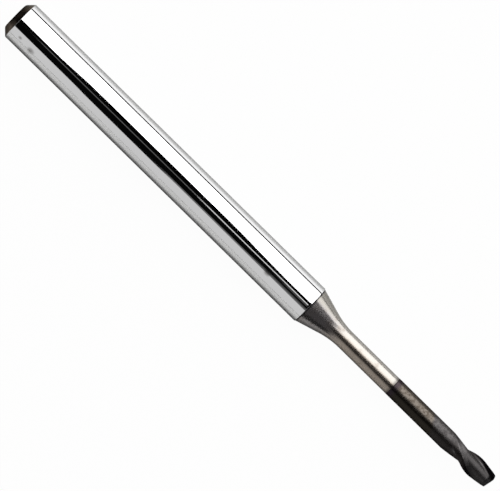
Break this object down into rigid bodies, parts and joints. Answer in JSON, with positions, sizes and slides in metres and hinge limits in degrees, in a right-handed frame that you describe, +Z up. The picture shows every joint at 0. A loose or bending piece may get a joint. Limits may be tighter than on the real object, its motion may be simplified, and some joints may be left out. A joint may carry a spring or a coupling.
{
  "type": "end mill",
  "caption": "Slim long-neck end mill: polished round shank, coned shoulder, thin ground neck and a small dark-coated head with right-hand helical flutes that cut on the side and the end.",
  "frame": {"origin": "on the tool's axis, at the front shoulder of the shank, where the cylinder that a collet grips ends", "axes": "+X along the axis towards the cutting tip; the tool lies on its side with +Z up"},
  "size_m": [0.0599, 0.004, 0.004],
  "materials": {
    "polished_steel": "polished",
    "braze_metal": "satin",
    "ground_carbide": "satin",
    "dark_film": "satin"
  },
  "bodies": {
    "root": {"shank": "polished_steel", "braze_joint": "braze_metal", "carbide_cutter": "ground_carbide", "hard_coating": "dark_film"}
  },
  "joints": []
}
